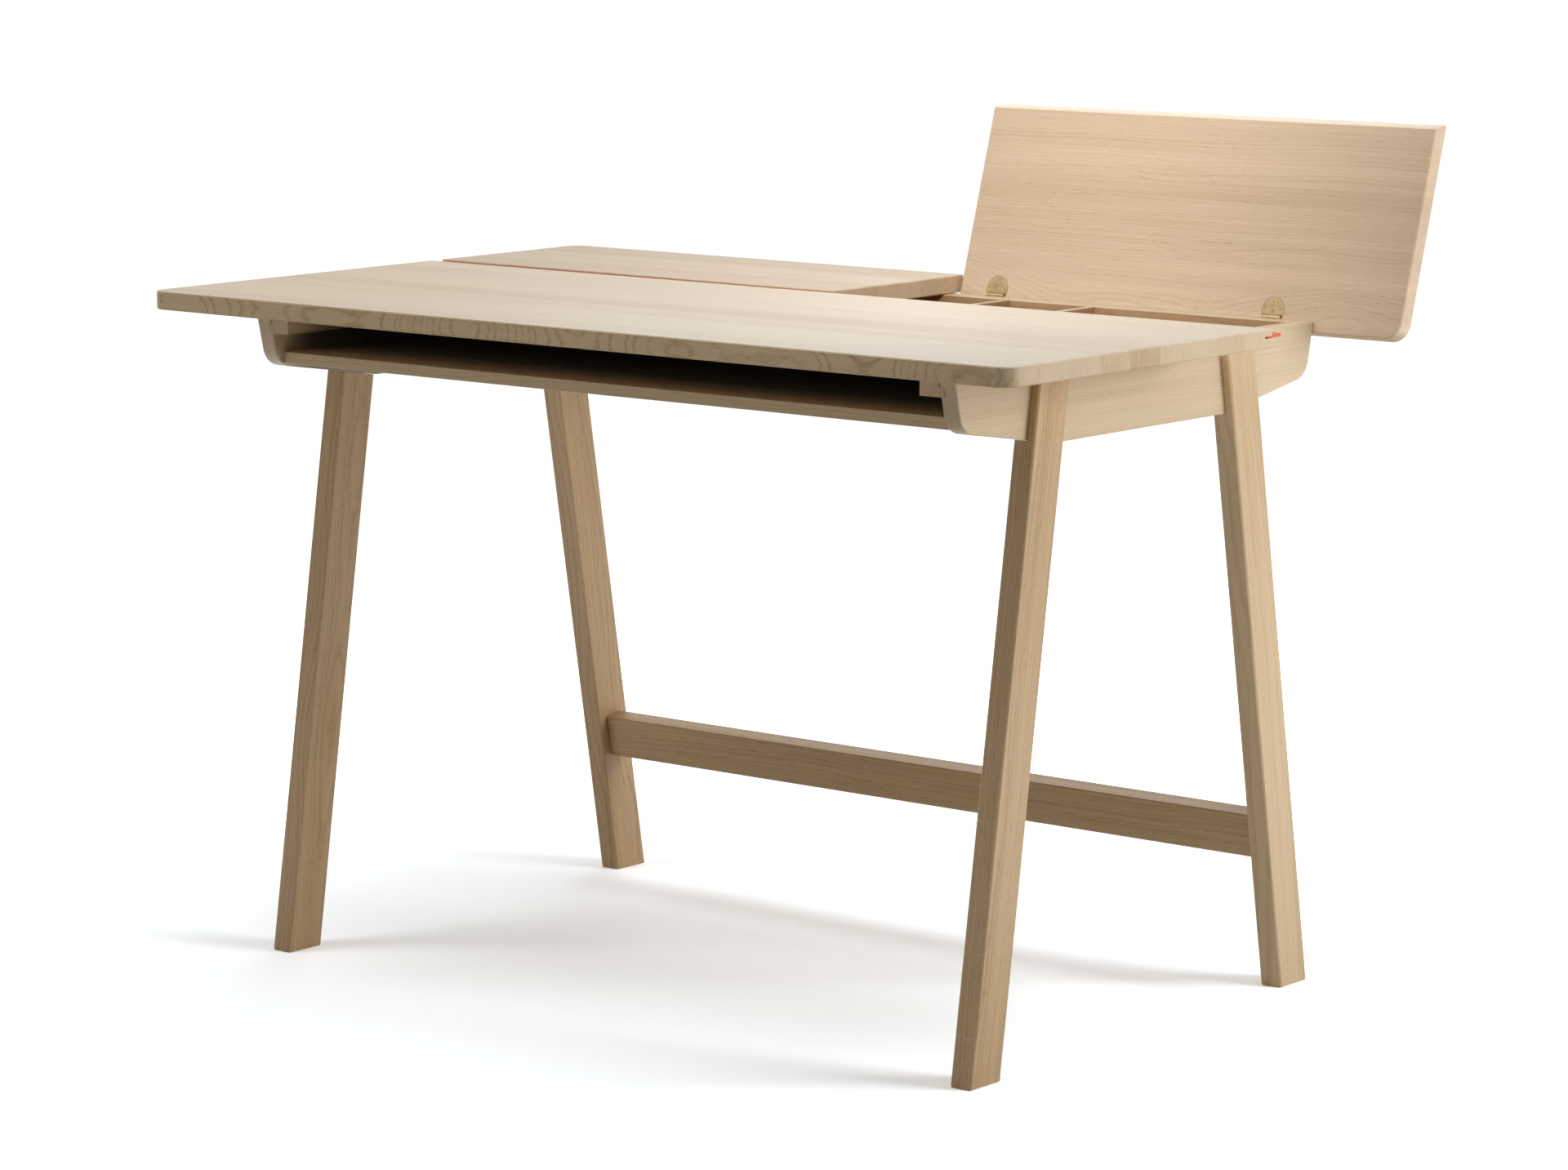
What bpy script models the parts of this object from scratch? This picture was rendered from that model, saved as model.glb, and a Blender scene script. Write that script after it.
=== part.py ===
"""Writing desk on four raked legs, with an open front shelf and two rear lids over compartments.

Units are metres. +Z is up, the front faces -Y and the floor is at z = 0. The right lid stands open.
Depths are measured backwards from the front edge of the desk top.
"""

import math
from functools import partial

import bmesh
import bpy

# Overall sizes of the top
TOP_HEIGHT = 0.740
TOP_WIDTH = 1.172
TOP_THICKNESS = 0.020
SLAB_DEPTH = 0.452
SLAB_CORNER = 0.021
LID_DEPTH = 0.238
LID_CORNER = 0.019
LID_UNDERCUT = 0.0086
LID_MEETING_GAP = 0.004
TOP_EASE = 0.0012

# Strip in the gap between slab and lids
STRIP_GAP = 0.018
STRIP_WIDTH = 0.0165
STRIP_THICKNESS = 0.0034
STRIP_DROP = 0.006
STRIP_INSET = 0.0015
TONGUE_LENGTH = 0.009
TONGUE_THICKNESS = 0.0018
KERF_SPARE = 0.005

# Clearances
SEAT_GAP = 0.0003
TURNING_GAP = 0.0005
STOP_GAP = 0.0004
OVERCUT = 0.010

# Case: side panels, boards and compartments
SIDE_OVERHANG = 0.108
PANEL_THICKNESS = 0.020
PANEL_DROP = 0.0835
PANEL_FRONT_INSET = 0.0567
PANEL_BACK_INSET = 0.0142
PANEL_END_LEAN = math.radians(12.5)
PANEL_FRONT_CORNER = 0.026
PANEL_REAR_CORNER = 0.024
PANEL_EASE = 0.001
SHELF_OPENING = 0.045
FLOOR_THICKNESS = 0.0127
FLOOR_FRONT_INSET = 0.078
RAIL_THICKNESS = 0.012
RAIL_CORNER_SHARE = 0.9
LINING_THICKNESS = 0.009
LINING_SETBACK = 0.0045
DIVIDER_THICKNESS = 0.009
DIVIDER_SHARES = (0.186, 0.441)
INNER_EASE = 0.0006

# Cleats under the slab
CLEAT_WIDTH = 0.030
CLEAT_HEIGHT = 0.0232
CLEAT_TONGUE = 0.0053
CLEAT_TONGUE_DROP = 0.0132
CLEAT_SHOULDER_GAP = 0.0015
CLEAT_FRONT_INSET = 0.060
CLEAT_BACK_GAP = 0.006
CLEAT_SCREW_SHARES = (0.22, 0.78)

# Legs and stretcher
LEG_THICKNESS = 0.026
LEG_WIDTH = 0.0495
LEG_PROUD = 0.010
FRONT_RAKE = math.radians(8.8)
REAR_RAKE = math.radians(9.6)
FRONT_LEG_DEPTH = 0.1913
REAR_LEG_DEPTH = 0.5105
LEG_EASE = 0.0015
STRETCHER_HEIGHT = 0.0485
STRETCHER_TOP = 0.190
LAP_REACH = 2 * LEG_WIDTH

# Hinges
LID_OPEN_ANGLE = math.radians(107.0)
HINGE_INNER_SPOT = 0.053
HINGE_OUTER_INSET = 0.035
KNUCKLE_RADIUS = 0.003
PIN_RADIUS = 0.001
PIN_PLAY = 0.0001
BARREL_WIDTH = 0.0236
LEAF_RADIUS = 0.0145
LEAF_LENGTH = 0.023
LEAF_THICKNESS = 0.0012
LEAF_WEB = 0.0018
KNUCKLE_SIDES = 16
ARC_STEPS = 8

# Screws
SCREW_HEAD_RADIUS = 0.0027
SCREW_SHANK_RADIUS = 0.0014
SCREW_HEAD_DEPTH = 0.0012
SCREW_SINK = 0.0001
SCREW_POINT = 0.0015
SCREW_SIDES = 12
HINGE_SCREW_LENGTH = 0.0095
CLEAT_SCREW_LENGTH = 0.0345
SCREW_TOP_SHARE = 0.74
SCREW_SIDE_SHARE = 0.38
SCREW_SPREAD = 0.0096

# Finishes: colour, roughness, metallic
OAK = ((0.730, 0.590, 0.430, 1.0), 0.55, 0.0)
OAK_INSIDE = ((0.640, 0.490, 0.330, 1.0), 0.60, 0.0)
BRASS = ((0.560, 0.450, 0.200, 1.0), 0.32, 1.0)
BRASS_SCREW = ((0.660, 0.550, 0.300, 1.0), 0.28, 1.0)
ORANGE_FELT = ((0.760, 0.150, 0.060, 1.0), 0.90, 0.0)

# Levels and faces that pieces share
UNDERSIDE = TOP_HEIGHT - TOP_THICKNESS
CASE_TOP = UNDERSIDE - SEAT_GAP
PANEL_FLAT_HEIGHT = UNDERSIDE - PANEL_DROP
FLOOR_HEIGHT = UNDERSIDE - SHELF_OPENING
HALF_TOP = TOP_WIDTH / 2
PANEL_OUTER = HALF_TOP - SIDE_OVERHANG
PANEL_INNER = PANEL_OUTER - PANEL_THICKNESS
BOARD_END = PANEL_INNER - SEAT_GAP
LEG_OUTER = PANEL_OUTER + LEG_PROUD
LEG_INNER = LEG_OUTER - LEG_THICKNESS
DIVIDER_SPOTS = [share * PANEL_INNER for share in DIVIDER_SHARES]
HINGE_SPOTS = (HINGE_INNER_SPOT, PANEL_INNER - HINGE_OUTER_INSET)
LID_FRONT = SLAB_DEPTH + STRIP_GAP
LID_BACK = LID_FRONT + LID_DEPTH
PANEL_BACK = LID_BACK - PANEL_BACK_INSET
END_SLOPE = math.tan(PANEL_END_LEAN)
SLOPED = 1 / math.cos(PANEL_END_LEAN)
FLOOR_UNDERSIDE = FLOOR_HEIGHT - FLOOR_THICKNESS
SIDES = (("left", -1), ("right", 1))

# The lid turns about a line in its underside, placed so that its overhang stops on the sloping back
STOP_TURN = LID_OPEN_ANGLE - math.pi / 2
STOP_REACH = (PANEL_BACK_INSET - STOP_GAP) * math.cos(STOP_TURN)
STOP_LEAN = math.sin(STOP_TURN) / math.cos(STOP_TURN) - END_SLOPE
AXIS_SETBACK = STOP_GAP + STOP_REACH * STOP_LEAN + SEAT_GAP * END_SLOPE
AXIS_DEPTH = PANEL_BACK + AXIS_SETBACK
AXIS_HEIGHT = UNDERSIDE
LEAF_OFFSET = (AXIS_SETBACK - SEAT_GAP * END_SLOPE) / SLOPED


# Outlines

def back_depth(height, inwards=0.0):
    """Depth of the sloping back face at a height, moved square inwards into the case."""
    return PANEL_BACK - (CASE_TOP - height) * END_SLOPE - inwards * SLOPED


def arc(centre, radius, start, end, steps=ARC_STEPS):
    """Points along an arc, both ends included."""
    points = []
    for step in range(steps + 1):
        angle = start + (end - start) * step / steps
        points.append((centre[0] + radius * math.cos(angle), centre[1] + radius * math.sin(angle)))
    return points


def rounded(corners):
    """Outline of (point, radius) corners with each corner turned into an arc of its radius."""
    points = []
    count = len(corners)
    for index, (corner, radius) in enumerate(corners):
        if radius == 0:
            points.append(corner)
            continue
        before = corners[index - 1][0]
        after = corners[(index + 1) % count][0]
        back = math.atan2(before[1] - corner[1], before[0] - corner[0])
        ahead = math.atan2(after[1] - corner[1], after[0] - corner[0])
        between = (ahead - back + math.pi) % (2 * math.pi) - math.pi
        middle = back + between / 2
        reach = radius / abs(math.sin(between / 2))
        centre = (corner[0] + reach * math.cos(middle), corner[1] + reach * math.sin(middle))
        swing = math.copysign(math.pi - abs(between), between)
        opening = middle + math.pi + swing / 2
        points.extend(arc(centre, radius, opening, opening - swing))
    return points


def oblong(low_a, high_a, low_b, high_b):
    """Corners of an upright rectangle."""
    return [(low_a, low_b), (high_a, low_b), (high_a, high_b), (low_a, high_b)]


# Solids

def add_prism(bm, outline, axis, low, high, low_outline=None):
    """Close an outline between two planes square to an axis."""
    order = {"X": (1, 2, 0), "Y": (0, 2, 1), "Z": (0, 1, 2)}[axis]

    def ring(points, level):
        verts = []
        for first, second in points:
            spot = [0.0, 0.0, 0.0]
            spot[order[0]], spot[order[1]], spot[order[2]] = first, second, level
            verts.append(bm.verts.new(spot))
        return verts

    upper = ring(outline, high)
    lower = ring(low_outline or outline, low)
    bm.faces.new(upper)
    bm.faces.new(lower)
    for index in range(len(upper)):
        after = (index + 1) % len(upper)
        bm.faces.new((upper[index], upper[after], lower[after], lower[index]))


def add_turned(bm, centre, profile, sides):
    """Turn (height, radius) pairs about an upright line; a radius of 0 at the end makes a point."""
    rings = []
    for height, radius in profile:
        if radius == 0:
            rings.append([bm.verts.new((centre[0], centre[1], height))])
            continue
        rings.append([bm.verts.new((x, y, height))
                      for x, y in arc(centre, radius, 0, 2 * math.pi, sides)[:-1]])
    for near, far in zip(rings, rings[1:]):
        for index in range(sides):
            after = (index + 1) % sides
            if len(far) == 1:
                bm.faces.new((near[index], near[after], far[0]))
            else:
                bm.faces.new((near[index], near[after], far[after], far[index]))
    for end in (rings[0], rings[-1]):
        if len(end) > 1:
            bm.faces.new(end)


def add_rod(bm, radius, low, high, sides):
    """Round bar along the hinge line."""
    add_prism(bm, arc((0, 0), radius, 0, 2 * math.pi, sides)[:-1], "X", low, high)


def make(name, finish, build, parent, ease=0.0):
    """Make one named object from a builder of solids, give it its material and ease its edges."""
    bm = bmesh.new()
    build(bm)
    bmesh.ops.recalc_face_normals(bm, faces=bm.faces)
    mesh = bpy.data.meshes.new(name)
    bm.to_mesh(mesh)
    bm.free()
    piece = bpy.data.objects.new(name, mesh)
    bpy.context.collection.objects.link(piece)
    piece.parent = parent
    if finish:
        colour, roughness, metallic = finish
        material = bpy.data.materials.new(name + "_finish")
        material.use_nodes = True
        shader = material.node_tree.nodes["Principled BSDF"]
        shader.inputs["Base Color"].default_value = colour
        shader.inputs["Roughness"].default_value = roughness
        shader.inputs["Metallic"].default_value = metallic
        mesh.materials.append(material)
    if ease:
        bevel = piece.modifiers.new("eased edges", "BEVEL")
        bevel.width = ease
        bevel.segments = 1
        bevel.limit_method = "ANGLE"
    return piece


def shape(piece, operation, name, build, parent):
    """Cut a hidden shape out of a piece, or join it on."""
    tool = make(name, None, build, parent)
    tool.hide_render = True
    tool.display_type = "WIRE"
    boolean = piece.modifiers.new(name, "BOOLEAN")
    boolean.operation = operation
    boolean.solver = "EXACT"
    boolean.object = tool


def marker(name, location, turn, parent):
    """Empty that carries the pieces fixed to it."""
    empty = bpy.data.objects.new(name, None)
    bpy.context.collection.objects.link(empty)
    empty.location = location
    empty.rotation_euler = (turn, 0, 0)
    empty.parent = parent
    return empty


# Screws and the holes they stand in

def add_screw(bm, centre, face, length):
    """Countersunk screw going up from the face it is driven into."""
    head = face + SCREW_SINK
    add_turned(bm, centre, [(head, SCREW_HEAD_RADIUS),
                            (head + SCREW_HEAD_DEPTH, SCREW_SHANK_RADIUS),
                            (head + length - SCREW_POINT, SCREW_SHANK_RADIUS),
                            (head + length, 0)], SCREW_SIDES)


def add_screw_hole(bm, centre, face, end):
    """Countersunk hole that leaves a gap all round the screw, open below the face."""
    head = face + SCREW_SINK
    wide = SCREW_HEAD_RADIUS + SEAT_GAP
    narrow = SCREW_SHANK_RADIUS + SEAT_GAP
    add_turned(bm, centre, [(face - OVERCUT, wide), (head, wide),
                            (head + SCREW_HEAD_DEPTH, narrow), (end, narrow)], SCREW_SIDES)


def add_pilot(bm, centre, start, face, length):
    """Blind hole for a screw's shank, from a start level to just past its point."""
    radius = SCREW_SHANK_RADIUS + SEAT_GAP
    end = face + SCREW_SINK + length + SEAT_GAP
    add_turned(bm, centre, [(start, radius), (end, radius)], SCREW_SIDES)


# Desk top, strip and lids

def build_slab(bm):
    add_prism(bm, rounded([((-HALF_TOP, 0), SLAB_CORNER), ((HALF_TOP, 0), SLAB_CORNER),
                           ((HALF_TOP, SLAB_DEPTH), 0), ((-HALF_TOP, SLAB_DEPTH), 0)]),
              "Z", UNDERSIDE, TOP_HEIGHT)


def build_strip(bm):
    front = SLAB_DEPTH + SEAT_GAP
    back = front + STRIP_WIDTH
    add_prism(bm, [(front - TONGUE_LENGTH, STRIP_BASE), (back, STRIP_BASE), (back, STRIP_TOP),
                   (front, STRIP_TOP), (front, STRIP_BASE + TONGUE_THICKNESS),
                   (front - TONGUE_LENGTH, STRIP_BASE + TONGUE_THICKNESS)],
              "X", STRIP_INSET - HALF_TOP, HALF_TOP - STRIP_INSET)


def build_kerf(bm):
    front = SLAB_DEPTH - TONGUE_LENGTH - KERF_SPARE
    add_prism(bm, oblong(front, SLAB_DEPTH + OVERCUT, STRIP_BASE - SEAT_GAP,
                         STRIP_BASE + TONGUE_THICKNESS + SEAT_GAP),
              "X", -HALF_TOP - OVERCUT, HALF_TOP + OVERCUT)


def build_lid(bm, side):
    """Lid in its closed place about the hinge line, with its front face undercut."""
    meeting = side * LID_MEETING_GAP / 2
    outer = side * HALF_TOP
    front = LID_FRONT - AXIS_DEPTH
    back = LID_BACK - AXIS_DEPTH
    upper = rounded([((meeting, front), 0), ((outer, front), 0),
                     ((outer, back), LID_CORNER), ((meeting, back), 0)])
    lower = [(x, y + LID_UNDERCUT) if y == front else (x, y) for x, y in upper]
    add_prism(bm, upper, "Z", 0, TOP_THICKNESS, lower)


# Case

def build_panel(bm, side):
    front = PANEL_FRONT_INSET
    drop = CASE_TOP - PANEL_FLAT_HEIGHT
    front_slope = math.tan(FRONT_RAKE)
    rear_slope = math.tan(REAR_RAKE)
    front_rise = (FRONT_KINK - front - drop * END_SLOPE) * front_slope / (1 - front_slope * END_SLOPE)
    rear_rise = (PANEL_BACK - REAR_KINK - drop * END_SLOPE) * rear_slope / (1 - rear_slope * END_SLOPE)
    front_low = (front + (drop - front_rise) * END_SLOPE, PANEL_FLAT_HEIGHT + front_rise)
    rear_low = (PANEL_BACK - (drop - rear_rise) * END_SLOPE, PANEL_FLAT_HEIGHT + rear_rise)
    outline = rounded([((front, CASE_TOP), 0), (front_low, PANEL_FRONT_CORNER),
                       ((FRONT_KINK, PANEL_FLAT_HEIGHT), 0), ((REAR_KINK, PANEL_FLAT_HEIGHT), 0),
                       (rear_low, PANEL_REAR_CORNER), ((PANEL_BACK, CASE_TOP), 0)])
    add_prism(bm, outline, "X", *sorted((side * PANEL_INNER, side * PANEL_OUTER)))


def build_groove(bm, side):
    """Groove in the inside of a panel for the cleat's tongue, open at the front."""
    outer = PANEL_INNER + CLEAT_TONGUE
    add_prism(bm, oblong(PANEL_FRONT_INSET - OVERCUT, CLEAT_BACK + SEAT_GAP,
                         CLEAT_BASE - SEAT_GAP, TONGUE_TOP + SEAT_GAP),
              "X", *sorted((side * (PANEL_INNER - OVERCUT), side * outer)))


def build_cleat(bm, side):
    inner = PANEL_INNER + CLEAT_TONGUE - SEAT_GAP - CLEAT_WIDTH
    shoulder = PANEL_INNER - CLEAT_SHOULDER_GAP
    outer = inner + CLEAT_WIDTH
    outline = [(side * x, z) for x, z in ((inner, CLEAT_BASE), (outer, CLEAT_BASE), (outer, TONGUE_TOP),
                                          (shoulder, TONGUE_TOP), (shoulder, CASE_TOP), (inner, CASE_TOP))]
    add_prism(bm, outline, "Y", CLEAT_FRONT_INSET, CLEAT_BACK)


def build_floor(bm):
    add_prism(bm, [(FLOOR_FRONT_INSET, FLOOR_UNDERSIDE),
                   (back_depth(FLOOR_UNDERSIDE, RAIL_THICKNESS + SEAT_GAP), FLOOR_UNDERSIDE),
                   (back_depth(FLOOR_HEIGHT, RAIL_THICKNESS + SEAT_GAP), FLOOR_HEIGHT),
                   (FLOOR_FRONT_INSET, FLOOR_HEIGHT)], "X", -BOARD_END, BOARD_END)


def sloping_board(low, outer, inner):
    """Outline of a board that leans with the back of the case."""
    return [(back_depth(low, outer), low), (back_depth(CASE_TOP, outer), CASE_TOP),
            (back_depth(CASE_TOP, inner), CASE_TOP), (back_depth(low, inner), low)]


def build_rail(bm):
    """Back rail with its lower outer edge rounded."""
    low_outer, *others = sloping_board(FLOOR_UNDERSIDE, 0, RAIL_THICKNESS)
    corners = [(low_outer, RAIL_CORNER_SHARE * RAIL_THICKNESS)] + [(corner, 0) for corner in others]
    add_prism(bm, rounded(corners), "X", -BOARD_END, BOARD_END)


def build_back_lining(bm):
    outer = RAIL_THICKNESS + SEAT_GAP
    add_prism(bm, sloping_board(LINING_BASE, outer, outer + LINING_THICKNESS), "X", -BOARD_END, BOARD_END)


def build_front_lining(bm):
    add_prism(bm, oblong(LINING_FRONT, LINING_FRONT + LINING_THICKNESS, LINING_BASE, CASE_TOP),
              "X", -BOARD_END, BOARD_END)


def build_divider(bm, spot):
    front = LINING_FRONT + LINING_THICKNESS + SEAT_GAP
    inwards = RAIL_THICKNESS + LINING_THICKNESS + 2 * SEAT_GAP
    add_prism(bm, [(front, LINING_BASE), (back_depth(LINING_BASE, inwards), LINING_BASE),
                   (back_depth(CASE_TOP, inwards), CASE_TOP), (front, CASE_TOP)],
              "X", spot - DIVIDER_THICKNESS / 2, spot + DIVIDER_THICKNESS / 2)


# Legs and stretcher

def leg_face(front_leg, height):
    """Depth of a leg's front face at a height."""
    if front_leg:
        return FRONT_LEG_DEPTH - (TOP_HEIGHT - height) * math.tan(FRONT_RAKE)
    return REAR_LEG_DEPTH + (TOP_HEIGHT - height) * math.tan(REAR_RAKE)


def leg_run(front_leg):
    """Width of a leg measured level, from front to back."""
    return LEG_WIDTH / math.cos(FRONT_RAKE if front_leg else REAR_RAKE)


def build_leg(bm, front_leg, side):
    foot = leg_face(front_leg, 0)
    head = leg_face(front_leg, CASE_TOP)
    run = leg_run(front_leg)
    add_prism(bm, [(foot, 0), (foot + run, 0), (head + run, CASE_TOP), (head, CASE_TOP)],
              "X", *sorted((side * LEG_INNER, side * LEG_OUTER)))


def build_lap(bm, front_leg, side):
    """Space above a leg's shoulder, which the side panel stands in."""
    kink, slope = (FRONT_KINK, -math.tan(FRONT_RAKE)) if front_leg else (REAR_KINK, math.tan(REAR_RAKE))
    front = kink - LAP_REACH
    back = kink + LAP_REACH
    base = PANEL_FLAT_HEIGHT - SEAT_GAP
    outline = [(front, base + (front - kink) * slope), (back, base + (back - kink) * slope),
               (back, UNDERSIDE + OVERCUT), (front, UNDERSIDE + OVERCUT)]
    add_prism(bm, outline, "X", *sorted((side * (LEG_INNER - OVERCUT), side * (PANEL_OUTER + SEAT_GAP))))


def build_stretcher(bm):
    half_height = STRETCHER_HEIGHT / 2
    half_width = LEG_THICKNESS / 2
    lean_sin = math.sin(REAR_RAKE)
    lean_cos = math.cos(REAR_RAKE)
    middle = STRETCHER_TOP - half_height * lean_cos + half_width * lean_sin
    centre = leg_face(False, middle) + leg_run(False) / 2
    outline = []
    for across, along in oblong(-half_width, half_width, -half_height, half_height):
        outline.append((centre + across * lean_cos - along * lean_sin,
                        middle + across * lean_sin + along * lean_cos))
    end = LEG_INNER - SEAT_GAP
    add_prism(bm, outline, "X", -end, end)


# Hinges, drawn flat about the hinge line with the leaf running forwards

def round_leaf(spot, radius, level):
    """Round outline of a leaf, from its right side at a level round the front to its left side."""
    middle = LEAF_RADIUS - LEAF_LENGTH
    past = math.asin((level - middle) / radius)
    return arc((spot, middle), radius, past, -math.pi - past, 2 * ARC_STEPS)


def leaf_outline(spot, spans):
    """Round leaf that reaches its own knuckles and stays clear of the other leaf's."""
    clear = -(KNUCKLE_RADIUS + TURNING_GAP)
    outline = round_leaf(spot, LEAF_RADIUS, clear)
    for low, high in spans:
        outline += [(low, clear), (low, -LEAF_WEB), (high, -LEAF_WEB), (high, clear)]
    return outline


def knuckle_spans(spot, lid_leaf):
    """The lid leaf carries the middle knuckle and the case leaf the two outer ones."""
    low = spot - BARREL_WIDTH / 2
    third = BARREL_WIDTH / 3
    half_gap = SEAT_GAP / 2
    if lid_leaf:
        return [(low + third + half_gap, low + 2 * third - half_gap)]
    return [(low, low + third - half_gap), (low + 2 * third + half_gap, low + BARREL_WIDTH)]


def screw_spots(spot):
    """Places of a leaf's three screws."""
    side = -LEAF_LENGTH * SCREW_SIDE_SHARE
    return [(spot, -LEAF_LENGTH * SCREW_TOP_SHARE), (spot - SCREW_SPREAD, side), (spot + SCREW_SPREAD, side)]


def add_knuckle(bm, low, high):
    """Tube about the hinge line with a bore for the pin."""
    outer = arc((0, 0), KNUCKLE_RADIUS, 0, 2 * math.pi, KNUCKLE_SIDES)[:-1]
    inner = arc((0, 0), PIN_RADIUS + PIN_PLAY, 0, 2 * math.pi, KNUCKLE_SIDES)[:-1]
    rings = [[bm.verts.new((x, y, z)) for y, z in ring]
             for x, ring in ((low, outer), (high, outer), (high, inner), (low, inner))]
    for near, far in zip(rings, rings[1:] + rings[:1]):
        for index in range(KNUCKLE_SIDES):
            after = (index + 1) % KNUCKLE_SIDES
            bm.faces.new((near[index], near[after], far[after], far[index]))


def make_leaf(name, spot, lid_leaf, offset, parent):
    """One leaf with its knuckles and countersunk holes, and its three screws."""
    spans = knuckle_spans(spot, lid_leaf)

    def plate(bm):
        add_prism(bm, leaf_outline(spot, spans), "Z", offset, offset + LEAF_THICKNESS)

    def knuckles(bm):
        for low, high in spans:
            add_knuckle(bm, low, high)

    def holes(bm):
        for centre in screw_spots(spot):
            add_screw_hole(bm, centre, offset, offset + LEAF_THICKNESS + OVERCUT)

    leaf = make(name, BRASS, plate, parent)
    shape(leaf, "UNION", name + "_knuckle", knuckles, parent)
    shape(leaf, "DIFFERENCE", name + "_holes", holes, parent)
    for number, centre in enumerate(screw_spots(spot), 1):
        make(f"{name}_screw_{number}", BRASS_SCREW,
             partial(add_screw, centre=centre, face=offset, length=HINGE_SCREW_LENGTH), parent)


def let_in(piece, spots, offset, parent):
    """Cut the recesses, knuckle grooves and screw holes that leaves need in a wooden piece."""
    depth = offset + LEAF_THICKNESS + SEAT_GAP
    name = piece.name

    def recesses(bm):
        for spot in spots:
            outline = round_leaf(spot, LEAF_RADIUS + SEAT_GAP, 0)
            add_prism(bm, outline, "Z", offset - OVERCUT, depth)

    def grooves(bm):
        half = BARREL_WIDTH / 2 + TURNING_GAP
        for spot in spots:
            add_rod(bm, KNUCKLE_RADIUS + TURNING_GAP, spot - half, spot + half, KNUCKLE_SIDES)

    def pilots(bm):
        for spot in spots:
            for centre in screw_spots(spot):
                add_pilot(bm, centre, offset, offset, HINGE_SCREW_LENGTH)

    shape(piece, "DIFFERENCE", name + "_recesses", recesses, parent)
    shape(piece, "DIFFERENCE", name + "_grooves", grooves, parent)
    shape(piece, "DIFFERENCE", name + "_pilots", pilots, parent)


# Places that follow from several pieces
STRIP_TOP = TOP_HEIGHT - STRIP_DROP
STRIP_BASE = STRIP_TOP - STRIP_THICKNESS
LINING_BASE = FLOOR_HEIGHT + SEAT_GAP
LINING_FRONT = SLAB_DEPTH - LINING_SETBACK - LINING_THICKNESS
CLEAT_BASE = CASE_TOP - CLEAT_HEIGHT
CLEAT_BACK = LINING_FRONT - CLEAT_BACK_GAP
TONGUE_TOP = UNDERSIDE - CLEAT_TONGUE_DROP
CLEAT_MIDDLE = PANEL_INNER - (CLEAT_WIDTH - CLEAT_TONGUE) / 2
FRONT_KINK = leg_face(True, PANEL_FLAT_HEIGHT) + leg_run(True)
REAR_KINK = leg_face(False, PANEL_FLAT_HEIGHT)
LID_EDGE = LID_FRONT + TOP_EASE - AXIS_DEPTH
OPEN_REACH = TOP_THICKNESS * math.sin(LID_OPEN_ANGLE) + LID_EDGE * math.cos(LID_OPEN_ANGLE)
WHOLE_DEPTH = AXIS_DEPTH + OPEN_REACH


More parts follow.
